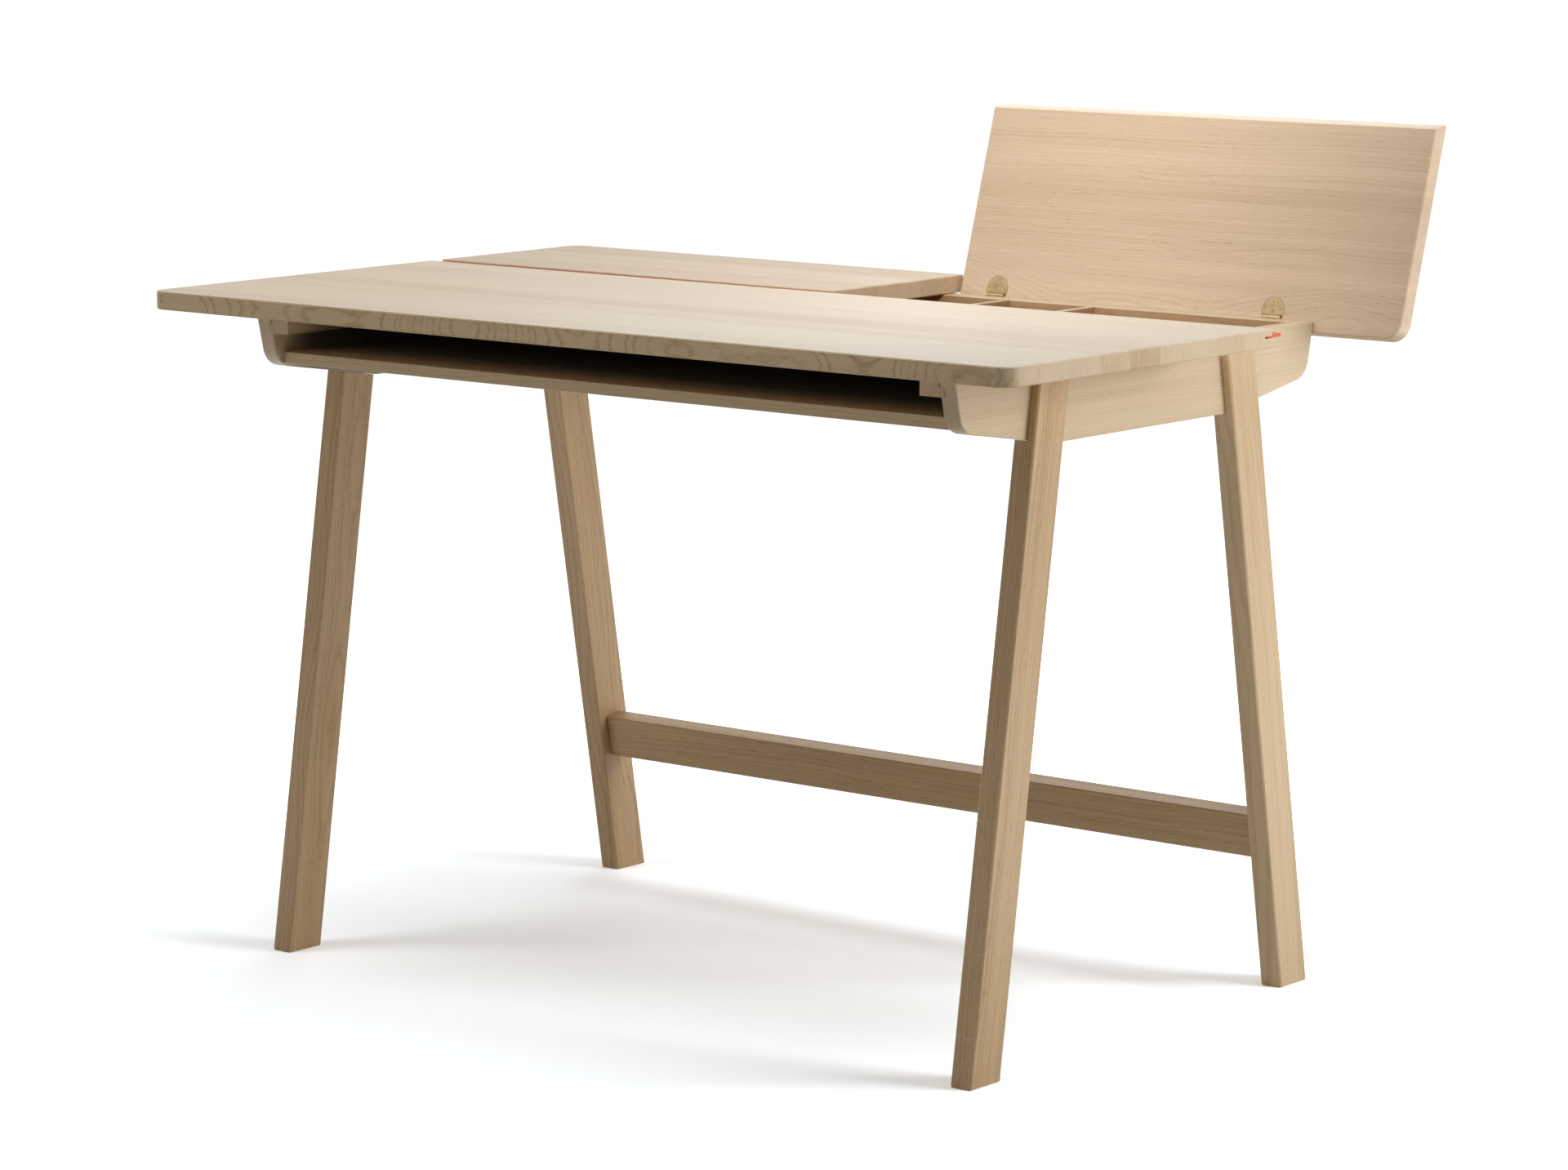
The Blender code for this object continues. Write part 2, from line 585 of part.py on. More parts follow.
def main():
    for old in list(bpy.data.objects):
        bpy.data.objects.remove(old, do_unlink=True)

    desk = marker("desk_place", (0, -WHOLE_DEPTH / 2, 0), 0, None)
    leaf_turn = math.pi / 2 - PANEL_END_LEAN
    case_leaves = marker("case_leaf_place", (0, AXIS_DEPTH, AXIS_HEIGHT), leaf_turn, desk)

    slab = make("desk_top", OAK, build_slab, desk, TOP_EASE)
    shape(slab, "DIFFERENCE", "desk_top_kerf", build_kerf, desk)
    make("gap_strip", ORANGE_FELT, build_strip, desk)

    make("bottom_board", OAK, build_floor, desk, INNER_EASE)
    rail = make("back_rail", OAK, build_rail, desk)
    make("compartment_back", OAK_INSIDE, build_back_lining, desk, INNER_EASE)
    make("compartment_front", OAK_INSIDE, build_front_lining, desk, INNER_EASE)
    for number, spot in enumerate(DIVIDER_SPOTS, 1):
        make(f"divider_{number}", OAK_INSIDE, partial(build_divider, spot=spot), desk, INNER_EASE)

    cleat_length = CLEAT_BACK - CLEAT_FRONT_INSET
    cleat_screws = [CLEAT_FRONT_INSET + share * cleat_length for share in CLEAT_SCREW_SHARES]
    for word, side in SIDES:
        panel = make(f"{word}_side_panel", OAK, partial(build_panel, side=side), desk, PANEL_EASE)
        shape(panel, "DIFFERENCE", f"{word}_groove", partial(build_groove, side=side), desk)
        cleat = make(f"{word}_cleat", OAK, partial(build_cleat, side=side), desk)
        centres = [(side * CLEAT_MIDDLE, depth) for depth in cleat_screws]

        def cleat_holes(bm, centres=centres):
            for centre in centres:
                add_screw_hole(bm, centre, CLEAT_BASE, UNDERSIDE + OVERCUT)

        def slab_holes(bm, centres=centres):
            for centre in centres:
                add_pilot(bm, centre, CLEAT_BASE, CLEAT_BASE, CLEAT_SCREW_LENGTH)

        shape(cleat, "DIFFERENCE", f"{word}_cleat_holes", cleat_holes, desk)
        shape(slab, "DIFFERENCE", f"desk_top_{word}_holes", slab_holes, desk)
        for number, centre in enumerate(centres, 1):
            make(f"{word}_cleat_screw_{number}", BRASS_SCREW,
                 partial(add_screw, centre=centre, face=CLEAT_BASE, length=CLEAT_SCREW_LENGTH), desk)

        for place, front_leg in (("front", True), ("rear", False)):
            leg = make(f"{word}_{place}_leg", OAK,
                       partial(build_leg, front_leg=front_leg, side=side), desk, LEG_EASE)
            shape(leg, "DIFFERENCE", f"{word}_{place}_lap",
                  partial(build_lap, front_leg=front_leg, side=side), desk)

        turn = -LID_OPEN_ANGLE if word == "right" else 0
        axis = marker(f"{word}_lid_axis", (0, AXIS_DEPTH, AXIS_HEIGHT), turn, desk)
        lid = make(f"{word}_lid", OAK, partial(build_lid, side=side), axis, TOP_EASE)
        spots = [side * spot for spot in HINGE_SPOTS]
        let_in(lid, spots, 0, axis)
        for place, spot in zip(("inner", "outer"), spots):
            hinge = f"{word}_{place}_hinge"
            make_leaf(f"{hinge}_lid_leaf", spot, True, 0, axis)
            make_leaf(f"{hinge}_case_leaf", spot, False, LEAF_OFFSET, case_leaves)
            pin_ends = {"low": spot - BARREL_WIDTH / 2, "high": spot + BARREL_WIDTH / 2}
            make(f"{hinge}_pin", BRASS_SCREW,
                 partial(add_rod, radius=PIN_RADIUS, sides=KNUCKLE_SIDES, **pin_ends), case_leaves)

    make("stretcher", OAK, build_stretcher, desk, LEG_EASE)
    all_spots = [side * spot for word, side in SIDES for spot in HINGE_SPOTS]
    let_in(rail, all_spots, LEAF_OFFSET, case_leaves)
    bpy.context.view_layer.update()


main()
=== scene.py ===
"""Looks of the oak writing desk: grained boards, brass hinges, felt strip, studio light and camera."""

import math

import bmesh
import bpy
from mathutils import Euler, Matrix, Vector


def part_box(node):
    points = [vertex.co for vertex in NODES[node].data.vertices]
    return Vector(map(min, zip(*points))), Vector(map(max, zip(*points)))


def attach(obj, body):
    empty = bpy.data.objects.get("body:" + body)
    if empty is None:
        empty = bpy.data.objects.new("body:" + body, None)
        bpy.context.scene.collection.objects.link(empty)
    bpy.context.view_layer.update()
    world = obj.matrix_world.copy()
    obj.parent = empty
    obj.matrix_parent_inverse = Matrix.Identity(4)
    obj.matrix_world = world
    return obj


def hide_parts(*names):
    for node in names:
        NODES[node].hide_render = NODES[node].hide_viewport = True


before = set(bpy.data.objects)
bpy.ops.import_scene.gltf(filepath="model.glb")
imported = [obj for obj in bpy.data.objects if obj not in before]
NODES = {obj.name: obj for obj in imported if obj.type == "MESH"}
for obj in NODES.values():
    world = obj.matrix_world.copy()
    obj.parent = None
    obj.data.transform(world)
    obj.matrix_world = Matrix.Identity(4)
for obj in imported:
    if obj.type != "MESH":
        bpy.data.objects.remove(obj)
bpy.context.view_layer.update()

# Camera, fitted to the edges of the photographed desk
IMAGE_WIDTH = 1920
SENSOR_WIDTH = 36.0
FOCAL_PIXELS = 6124.1
CAMERA_SPOT = Vector((3.3972, -4.1934, 1.2889))
CAMERA_AIM = Vector((-0.6222, 0.7667, -0.1583))
CAMERA_END = 200.0

# Turns that bring a piece's grain onto the first axis, its width onto the second
LID_TURN = math.radians(107.0)
FRONT_RAKE = math.radians(8.8)
REAR_RAKE = math.radians(9.6)
BACK_LEAN = math.radians(12.5)
QUARTER = math.pi / 2
ALONG_WIDTH = (0, 0, 0)
ALONG_DEPTH = (-QUARTER, -QUARTER, 0)
OPEN_LID = (LID_TURN, 0, 0)
FRONT_LEG = (FRONT_RAKE, QUARTER, 0)
REAR_LEG = (-REAR_RAKE, QUARTER, 0)
STRETCHER_LEAN = (QUARTER - REAR_RAKE, 0, 0)
ON_EDGE = (QUARTER, 0, 0)

# Socket kinds
NUMBER = "NodeSocketFloat"
COLOUR = "NodeSocketColor"
VECTOR = "NodeSocketVector"


# Node helpers

def feed(tree, socket, value):
    """Link a socket to another, or set it to a plain value."""
    if isinstance(value, bpy.types.NodeSocket):
        tree.links.new(value, socket)
    else:
        socket.default_value = value


def calc(tree, operation, *values, clamp=False):
    """One Math node."""
    node = tree.nodes.new("ShaderNodeMath")
    node.operation = operation
    node.use_clamp = clamp
    for socket, value in zip(node.inputs, values):
        feed(tree, socket, value)
    return node.outputs[0]


def remap(tree, value, low, high, to_low=0.0, to_high=1.0, smooth=False):
    """One Map Range node, clamped."""
    node = tree.nodes.new("ShaderNodeMapRange")
    node.interpolation_type = "SMOOTHSTEP" if smooth else "LINEAR"
    for socket, number in zip(node.inputs, (value, low, high, to_low, to_high)):
        feed(tree, socket, number)
    return node.outputs[0]


def pack_vector(tree, x, y, z):
    """Three values as one vector."""
    node = tree.nodes.new("ShaderNodeCombineXYZ")
    for socket, value in zip(node.inputs, (x, y, z)):
        feed(tree, socket, value)
    return node.outputs[0]


def axis_of(tree, vector, axis):
    """One axis of a vector; a minus sign turns it round."""
    node = tree.nodes.new("ShaderNodeSeparateXYZ")
    feed(tree, node.inputs[0], vector)
    value = node.outputs["XYZ".index(axis[-1])]
    return calc(tree, "MULTIPLY", value, -1.0) if axis[0] == "-" else value


def cloud(tree, vector, scale=1.0, detail=2.0, roughness=0.5):
    """Smooth noise between 0 and 1."""
    node = tree.nodes.new("ShaderNodeTexNoise")
    feed(tree, node.inputs["Vector"], vector)
    node.inputs["Scale"].default_value = scale
    node.inputs["Detail"].default_value = detail
    node.inputs["Roughness"].default_value = roughness
    return node.outputs["Fac"]


def blend(tree, amount, first, second, mode="MIX"):
    """One colour mix."""
    node = tree.nodes.new("ShaderNodeMix")
    node.data_type = "RGBA"
    node.blend_type = mode
    feed(tree, node.inputs["Factor"], amount)
    feed(tree, node.inputs["A"], first)
    feed(tree, node.inputs["B"], second)
    return node.outputs["Result"]


def bump_from(tree, height, strength, distance):
    """Normal from a height."""
    node = tree.nodes.new("ShaderNodeBump")
    node.inputs["Strength"].default_value = strength
    node.inputs["Distance"].default_value = distance
    feed(tree, node.inputs["Height"], height)
    return node.outputs["Normal"]


def new_group(name, inputs, outputs):
    """Empty shader group with named sockets."""
    tree = bpy.data.node_groups.new(name, "ShaderNodeTree")
    for label, kind, value in inputs:
        socket = tree.interface.new_socket(label, in_out="INPUT", socket_type=kind)
        if value is not None:
            socket.default_value = value
    for label, kind in outputs:
        tree.interface.new_socket(label, in_out="OUTPUT", socket_type=kind)
    source = tree.nodes.new("NodeGroupInput").outputs
    result = tree.nodes.new("NodeGroupOutput").inputs
    return tree, source, result


def place_group(tree, group, **values):
    """Put a group into a material with its own values."""
    node = tree.nodes.new("ShaderNodeGroup")
    node.node_tree = group
    for label, value in values.items():
        feed(tree, node.inputs[label.replace("_", " ")], value)
    return node


def new_material(name):
    """Material with its shader, ready for the finish."""
    material = bpy.data.materials.new(name)
    material.use_nodes = True
    return material, material.node_tree, material.node_tree.nodes["Principled BSDF"]


def lead_surface(tree, shader, surface, strength, distance):
    """Lead a group's colour, roughness and height to the shader."""
    feed(tree, shader.inputs["Base Color"], surface["Color"])
    feed(tree, shader.inputs["Roughness"], surface["Roughness"])
    feed(tree, shader.inputs["Normal"], bump_from(tree, surface["Height"], strength, distance))


def dress(node, material):
    """Put a material on a carried-over solid."""
    NODES[node].data.materials.clear()
    NODES[node].data.materials.append(material)


# Smooth curves on the carried-over solids
JOINED_WITHIN = 0.00001
CRISP_FROM = math.radians(30)


def smooth_curves(piece):
    """Shade round corners and barrels as curves and keep the eased edges crisp."""
    mesh = piece.data
    if "custom_normal" in mesh.attributes:
        mesh.attributes.remove(mesh.attributes["custom_normal"])
    mesh.shade_smooth()
    weld = piece.modifiers.new("joined corners", "WELD")
    weld.merge_threshold = JOINED_WITHIN
    split = piece.modifiers.new("crisp edges", "EDGE_SPLIT")
    split.split_angle = CRISP_FROM
    even = piece.modifiers.new("even flats", "WEIGHTED_NORMAL")
    even.mode = "FACE_AREA"


for solid in NODES.values():
    smooth_curves(solid)

# Oak grain: counts per metre along and across the fibres
WRINKLES = (9.0, 40.0)
RIPPLES = (85.0, 280.0)
PORES = (85.0, 900.0)
FINE_FIBRES = (5.0, 300.0)
STREAKS = (1.8, 75.0)
BROAD_CLOUDS = (0.9, 13.0)
FLECKS = (210.0, 14.0)
FLECK_PATCHES = (7.0, 1.0)

# Oak grain: how staves differ and how far each cause moves the rings, in metres
STAVE_STEP = 7.3
SEED_STEP = 1.7
HEART_SWAY = 0.4
HEART_DEPTH_SWAY = 0.012
WANDER_PACE = 3.0
WANDER_SIZE = 0.05
SLOPE = 0.012
WRINKLE_SIZE = 0.004
RIPPLE_SIZE = 0.0016
UNEVEN_PACE = 0.37
UNEVEN_RINGS = 2.4
LATE_SHARE = 0.66
FAINTEST_RING = 0.25
PORES_BETWEEN = 0.35
FLECK_BEND = 3.0

# Oak grain: where pores, flecks and seams begin and end, and how strongly each cause shows
PORE_RANGE = (0.57, 0.76)
FLECK_RANGE = (0.62, 0.72)
PATCH_RANGE = (0.40, 0.60)
SEAM_RANGE = (0.49, 0.50)
BASE_TONE = 0.22
RING_TONE = 0.8
PORE_TONE = 0.7
FINE_TONE = 0.36
BROAD_TONE = 0.50
SEAM_TONE = 0.10
BLUSH = (1.0, 0.975, 0.95, 1)
BLUSH_SHARE = 0.5
FLECK_COLOUR = (0.80, 0.70, 0.56, 1)
FLECK_SHARE = 0.3
PORE_ROUGHNESS = 0.2
STREAK_ROUGHNESS = 0.12
PORE_HEIGHT = -0.7
RING_HEIGHT = -0.3
OAK_BUMP = 0.12
OAK_BUMP_DEPTH = 0.0004

# Oak: usual values of a board
WHOLE_BOARD = 0.2
PLAIN_RING = 0.004
PLAIN_LINE = 0.42
PLAIN_FINISH = 0.46
OAK_PALE = (0.690, 0.552, 0.370, 1)
OAK_DEEP = (0.430, 0.300, 0.165, 1)


def build_oak_grain():
    """Solid oak glued up from staves: uneven growth rings, pores, streaks and ray flecks."""
    tree, source, result = new_group(
        "oak_grain",
        [("Vector", VECTOR, None), ("Stave", NUMBER, WHOLE_BOARD), ("Seed", NUMBER, 0.0),
         ("Ring", NUMBER, PLAIN_RING), ("Line", NUMBER, PLAIN_LINE), ("Figure", NUMBER, 1.0),
         ("Heart Across", NUMBER, 0.0), ("Heart Through", NUMBER, 0.03),
         ("Ring Depth", NUMBER, 0.4), ("Pore Depth", NUMBER, 0.6),
         ("Streak Depth", NUMBER, 0.5), ("Stave Depth", NUMBER, 0.3),
         ("Fleck", NUMBER, 0.0), ("Finish", NUMBER, PLAIN_FINISH),
         ("Pale", COLOUR, OAK_PALE), ("Deep", COLOUR, OAK_DEEP)],
        [("Color", COLOUR), ("Roughness", NUMBER), ("Height", NUMBER)])
    along, across, through = (axis_of(tree, source["Vector"], axis) for axis in "XYZ")

    def chance(first, second, third):
        """Three random numbers that belong to three keys."""
        noise = tree.nodes.new("ShaderNodeTexWhiteNoise")
        feed(tree, noise.inputs["Vector"], pack_vector(tree, first, second, third))
        split = tree.nodes.new("ShaderNodeSeparateColor")
        feed(tree, split.inputs[0], noise.outputs["Color"])
        return split.outputs

    def times(first, second):
        return calc(tree, "MULTIPLY", first, second)

    def times_add(first, second, third):
        return calc(tree, "MULTIPLY_ADD", first, second, third)

    def centred(value):
        return calc(tree, "SUBTRACT", value, 0.5)

    def fibres(counts, detail=1.0, roughness=0.5, moved=0.0):
        """Noise drawn out along the grain, as counts per metre along and across it."""
        length, width = counts
        first = times_add(shift, length, moved)
        spot = pack_vector(tree, first, times(across, width), times(through, width))
        return cloud(tree, spot, detail=detail, roughness=roughness)

    # Which stave a point is in, and three numbers of that stave's own
    count = calc(tree, "ADD", calc(tree, "DIVIDE", across, source["Stave"]), 0.5)
    row = calc(tree, "FLOOR", count)
    inside = centred(calc(tree, "SUBTRACT", count, row))
    lot_a, lot_b, lot_c = chance(row, source["Seed"], 0.5)
    shift = calc(tree, "ADD", times_add(row, STAVE_STEP, along), times(source["Seed"], SEED_STEP))

    # Distance from the tree's heart, which wanders along the board
    off_heart = calc(tree, "SUBTRACT", inside, source["Heart Across"])
    off_across = times(source["Stave"],
                       calc(tree, "SUBTRACT", off_heart, times(centred(lot_a), HEART_SWAY)))
    off_through = calc(tree, "ADD", calc(tree, "ADD", through, source["Heart Through"]),
                       times(centred(lot_b), HEART_DEPTH_SWAY))
    reach = calc(tree, "SQRT", times_add(off_across, off_across, times(off_through, off_through)))
    wander = centred(cloud(tree, pack_vector(tree, shift, source["Seed"], row), WANDER_PACE, detail=1.0))
    reach = times_add(times(wander, source["Figure"]), WANDER_SIZE, reach)
    reach = times_add(along, times(centred(lot_c), SLOPE), reach)
    wrinkle = centred(fibres(WRINKLES, detail=2.0))
    reach = times_add(wrinkle, WRINKLE_SIZE, reach)
    reach = times_add(centred(fibres(RIPPLES, detail=2.0)), RIPPLE_SIZE, reach)

    # Rings of uneven width, some dark and some faint
    even = calc(tree, "DIVIDE", reach, source["Ring"])
    uneven = cloud(tree, pack_vector(tree, times(even, UNEVEN_PACE), row, source["Seed"]), detail=1.0)
    rings = times_add(centred(uneven), UNEVEN_RINGS, even)
    phase = calc(tree, "FRACT", rings)
    early = remap(tree, phase, 0.0, source["Line"], 1.0, 0.0, smooth=True)
    late = remap(tree, phase, times_add(source["Line"], -LATE_SHARE, 1.0), 1.0, smooth=True)
    ring_lot = chance(calc(tree, "FLOOR", rings), row, source["Seed"])[0]
    ring = times(calc(tree, "MAXIMUM", early, late),
                 times_add(ring_lot, 1.0 - FAINTEST_RING, FAINTEST_RING))

    # Pores, fibres, streaks and clouds, all drawn out along the grain
    pores = times(remap(tree, fibres(PORES), *PORE_RANGE),
                  times_add(ring, 1.0 - PORES_BETWEEN, PORES_BETWEEN))
    fine = centred(fibres(FINE_FIBRES, detail=2.0, roughness=0.6))
    streak = centred(fibres(STREAKS, detail=2.0))
    broad = centred(fibres(BROAD_CLOUDS, detail=2.0))

    # Ray flecks lie across the grain in patches
    fleck = remap(tree, fibres(FLECKS, moved=times(wrinkle, FLECK_BEND)), *FLECK_RANGE)
    patch = remap(tree, fibres(FLECK_PATCHES), *PATCH_RANGE)
    fleck = calc(tree, "MULTIPLY", times(fleck, patch), source["Fleck"], clamp=True)

    # Tone and colour
    tone = times_add(times(ring, source["Ring Depth"]), RING_TONE, BASE_TONE)
    tone = times_add(times(pores, source["Pore Depth"]), PORE_TONE, tone)
    for grain, amount in ((fine, FINE_TONE), (streak, source["Streak Depth"]), (broad, BROAD_TONE),
                          (centred(lot_c), source["Stave Depth"])):
        tone = times_add(grain, amount, tone)
    seam = remap(tree, calc(tree, "ABSOLUTE", inside), *SEAM_RANGE, 0.0, SEAM_TONE)
    tone = calc(tree, "ADD", tone, seam, clamp=True)
    wood = blend(tree, tone, source["Pale"], source["Deep"])
    wood = blend(tree, times(lot_b, BLUSH_SHARE), wood, blend(tree, 1.0, wood, BLUSH, "MULTIPLY"))
    feed(tree, result["Color"], blend(tree, times(fleck, FLECK_SHARE), wood, FLECK_COLOUR))
    feed(tree, result["Roughness"],
         times_add(pores, PORE_ROUGHNESS, times_add(streak, STREAK_ROUGHNESS, source["Finish"])))
    feed(tree, result["Height"], times_add(pores, PORE_HEIGHT, times(ring, RING_HEIGHT)))
    return tree


OAK_GRAIN = build_oak_grain()


class Oak:
    """One board's oak, with the grain turned along it and centred on it."""

    def __init__(self, node, turn, seed, stave=WHOLE_BOARD, ring=PLAIN_RING, pale=OAK_PALE, deep=OAK_DEEP,
                 **values):
        low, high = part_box(node)
        material, self.tree, shader = new_material(node + "_oak")
        self.place = self.tree.nodes.new("ShaderNodeTexCoord").outputs
        mapping = self.tree.nodes.new("ShaderNodeMapping")
        mapping.inputs["Rotation"].default_value = turn
        mapping.inputs["Location"].default_value = -(Euler(turn).to_matrix() @ ((low + high) / 2))
        feed(self.tree, mapping.inputs["Vector"], self.place["Object"])
        grain = place_group(self.tree, OAK_GRAIN, Vector=mapping.outputs[0], Seed=seed, Stave=stave,
                            Ring=ring, Pale=pale, Deep=deep, **values)
        self.values = grain.inputs
        lead_surface(self.tree, shader, grain.outputs, OAK_BUMP, OAK_BUMP_DEPTH)
        dress(node, material)

    def facing(self, axis, low=0.5, high=0.9):
        """0 to 1 as the surface turns towards an axis."""
        return remap(self.tree, axis_of(self.tree, self.place["Normal"], axis), low, high, smooth=True)

    def reach(self, axis, low, high):
        """0 to 1 between two places along an axis."""
        return remap(self.tree, axis_of(self.tree, self.place["Object"], axis), low, high, smooth=True)

    def between(self, amount, first, second):
        """Change from one colour or number to another."""
        if isinstance(second, tuple):
            return blend(self.tree, amount, first, second)
        return remap(self.tree, amount, 0.0, 1.0, first, second)

    def vary(self, label, amount, first, second):
        """Let one of the grain's values change over the surface."""
        feed(self.tree, self.values[label], self.between(amount, first, second))


# The top is quiet, its front edge figured and its ends strongly grained; its pale tone holds painted
# light, lighter towards the right end
TOP_LEFT_PALE = (0.745, 0.620, 0.470, 1)
TOP_RIGHT_PALE_PAINTED_LIGHT = (0.785, 0.690, 0.565, 1)
TOP_DEEP = (0.490, 0.385, 0.265, 1)
TOP_END_PALE = (0.655, 0.515, 0.350, 1)
FRONT_PALE = (0.640, 0.500, 0.315, 1)
FRONT_DEEP = (0.400, 0.275, 0.135, 1)
TOP_STAVE = 0.05022
TOP_PAINTED_LIGHT_SPAN = 0.45
TOP_FINISH = 0.56
DULL_FINISH = 0.95
TOP_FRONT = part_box("desk_top")[0].y
FIGURED_FROM = TOP_FRONT + 0.004
FIGURED_TO = TOP_FRONT + 0.045

top = Oak("desk_top", ALONG_WIDTH, seed=1.0, stave=TOP_STAVE, Heart_Across=-0.72, Heart_Through=0.0)
level = top.facing("Z", 0.4, 0.9)
front = top.facing("-Y", 0.3, 0.9)
# Painted light: the top's pale tone lightens from the left end to the right end
top_pale_painted_light = top.between(top.reach("X", -TOP_PAINTED_LIGHT_SPAN, TOP_PAINTED_LIGHT_SPAN), TOP_LEFT_PALE, TOP_RIGHT_PALE_PAINTED_LIGHT)
top.vary("Pale", front, blend(top.tree, level, TOP_END_PALE, top_pale_painted_light), FRONT_PALE)
top.vary("Deep", front, top.between(level, OAK_DEEP, TOP_DEEP), FRONT_DEEP)
top.vary("Line", front, PLAIN_LINE, 0.28)
top.vary("Ring", front, 0.0042, 0.0032)
top.vary("Ring Depth", level, top.between(front, 0.55, 1.1), 0.12)
top.vary("Pore Depth", front, 0.25, 1.3)
top.vary("Finish", top.facing("-Z", 0.1, 0.5), TOP_FINISH, DULL_FINISH)
top.vary("Stave Depth", level, 0.75, 0.22)
top.vary("Streak Depth", level, 0.6, 0.34)
top.vary("Figure", top.reach("Y", FIGURED_FROM, FIGURED_TO), 3.4, 0.25)

# Lids: the top side is near the desk top's tone, and the front face, in the gap when closed, is paler with
# painted light
LID_PALE = (0.695, 0.570, 0.425, 1)
LID_DEEP = (0.465, 0.350, 0.230, 1)
UNDER_PALE = (0.715, 0.550, 0.390, 1)
UNDER_DEEP = (0.425, 0.300, 0.178, 1)
GAP_PAINTED_LIGHT_PALE = (0.840, 0.690, 0.530, 1)
GAP_PAINTED_LIGHT_DEEP = (0.640, 0.480, 0.330, 1)
LID_STAVE = 0.0793
LID_FINISH = 0.58
LID_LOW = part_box("right_lid")[0].z
LID_FIGURED_FROM = LID_LOW + 0.06
LID_FIGURED_TO = LID_LOW + 0.10


def lid_oak(node, turn, seed, ring, top_side, gap_side, dull_side=None, **values):
    """One lid's oak, with tones of their own on its top and underside, and painted light on its front."""
    oak = Oak(node, turn, seed, LID_STAVE, ring, Heart_Across=0.5, Heart_Through=0.045, **values)
    upper = oak.facing(top_side, 0.3, 0.7)
    # Painted light: the front face, shaded in the gap when closed, is made paler
    gap_painted_light = oak.facing(gap_side)
    oak.vary("Pale", gap_painted_light, oak.between(upper, UNDER_PALE, LID_PALE), GAP_PAINTED_LIGHT_PALE)
    oak.vary("Deep", gap_painted_light, oak.between(upper, UNDER_DEEP, LID_DEEP), GAP_PAINTED_LIGHT_DEEP)
    finish = oak.between(upper, PLAIN_FINISH, LID_FINISH)
    if dull_side:
        finish = oak.between(oak.facing(dull_side, 0.4, 0.8), finish, DULL_FINISH)
    feed(oak.tree, oak.values["Finish"], finish)
    return oak


lid_oak("left_lid", ALONG_WIDTH, seed=4.0, ring=0.0036, top_side="Z", gap_side="-Y",
        Figure=0.3, Ring_Depth=0.22)
lid = lid_oak("right_lid", OPEN_LID, seed=7.0, ring=0.0028, top_side="Y", gap_side="Z", dull_side="-Z",
              Ring_Depth=0.28, Pore_Depth=0.8)
lid.vary("Figure", lid.reach("Z", LID_FIGURED_FROM, LID_FIGURED_TO), 1.5, 0.3)

# Back rail and cleats
Oak("back_rail", ON_EDGE, seed=13.0, Ring_Depth=0.3)
Oak("left_cleat", ALONG_DEPTH, seed=23.0, ring=0.0025, Ring_Depth=0.5)
Oak("right_cleat", ALONG_DEPTH, seed=24.0, ring=0.0025, Ring_Depth=0.5)

# Legs and stretcher are browner; one leg has ray flecks low on its front, one is paler
LEG_RING = 0.005
LEG_PALE = (0.590, 0.405, 0.220, 1)
LEG_DEEP = (0.350, 0.220, 0.100, 1)
LEG_OAK = {"ring": LEG_RING, "pale": LEG_PALE, "deep": LEG_DEEP,
           "Streak_Depth": 0.9, "Ring_Depth": 0.45, "Pore_Depth": 1.2}
PALE_LEG_SIDE = (0.625, 0.452, 0.265, 1)
PALE_LEG_FRONT = (0.715, 0.540, 0.315, 1)
PALE_LEG_DEEP = (0.395, 0.260, 0.130, 1)
FLECKS_FROM = 0.42
FLECKS_FULL = 0.30

Oak("left_front_leg", FRONT_LEG, seed=27.0, **LEG_OAK)
leg = Oak("right_front_leg", FRONT_LEG, seed=29.0, **LEG_OAK)
low_on_leg = leg.reach("Z", FLECKS_FROM, FLECKS_FULL)
leg.vary("Fleck", calc(leg.tree, "MULTIPLY", leg.facing("-Y", 0.6, 0.9), low_on_leg), 0.0, 1.0)
Oak("left_rear_leg", REAR_LEG, seed=31.0, **LEG_OAK)
leg = Oak("right_rear_leg", REAR_LEG, seed=37.0, ring=LEG_RING, deep=PALE_LEG_DEEP, Streak_Depth=0.8)
leg.vary("Pale", leg.facing("-Y"), PALE_LEG_SIDE, PALE_LEG_FRONT)
Oak("stretcher", STRETCHER_LEAN, seed=41.0, **LEG_OAK)

# Painted shade: the shelf darkens towards its back, and the compartments are painted a shaded brown, with
# the plain oak tone on their top edges
INSIDE_SHADE_PALE = (0.400, 0.250, 0.127, 1)
INSIDE_SHADE_DEEP = (0.250, 0.148, 0.068, 1)
SHADED_PALE = (0.230, 0.210, 0.180, 1)
SHADED_DEEP = (0.110, 0.098, 0.083, 1)
END_PALE = (0.545, 0.420, 0.260, 1)
END_DEEP = (0.340, 0.235, 0.115, 1)
SHELF_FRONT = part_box("bottom_board")[0].y
SHELF_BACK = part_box("compartment_front")[0].y
SHELF_SHADE_DEPTH = 0.11
SIDE_SHADE_DEPTH = 0.055
LINING = 0.009


def shade_inside(oak, side, shade_depth, pale, deep):
    """Paint shade on one side of a board: darker along the shelf, and brown in the compartments."""
    inward = oak.facing(side)
    behind = oak.reach("Y", SHELF_BACK, SHELF_BACK + LINING)
    shelf_shade = calc(oak.tree, "MULTIPLY", inward, oak.reach("Y", SHELF_FRONT, SHELF_FRONT + shade_depth))
    shelf_shade = calc(oak.tree, "SUBTRACT", shelf_shade, behind, clamp=True)
    # Painted shade: inner faces behind the lining turn brown
    brown = calc(oak.tree, "MULTIPLY", inward, behind)
    oak.vary("Pale", brown, oak.between(shelf_shade, pale, SHADED_PALE), INSIDE_SHADE_PALE)
    oak.vary("Deep", brown, oak.between(shelf_shade, deep, SHADED_DEEP), INSIDE_SHADE_DEEP)


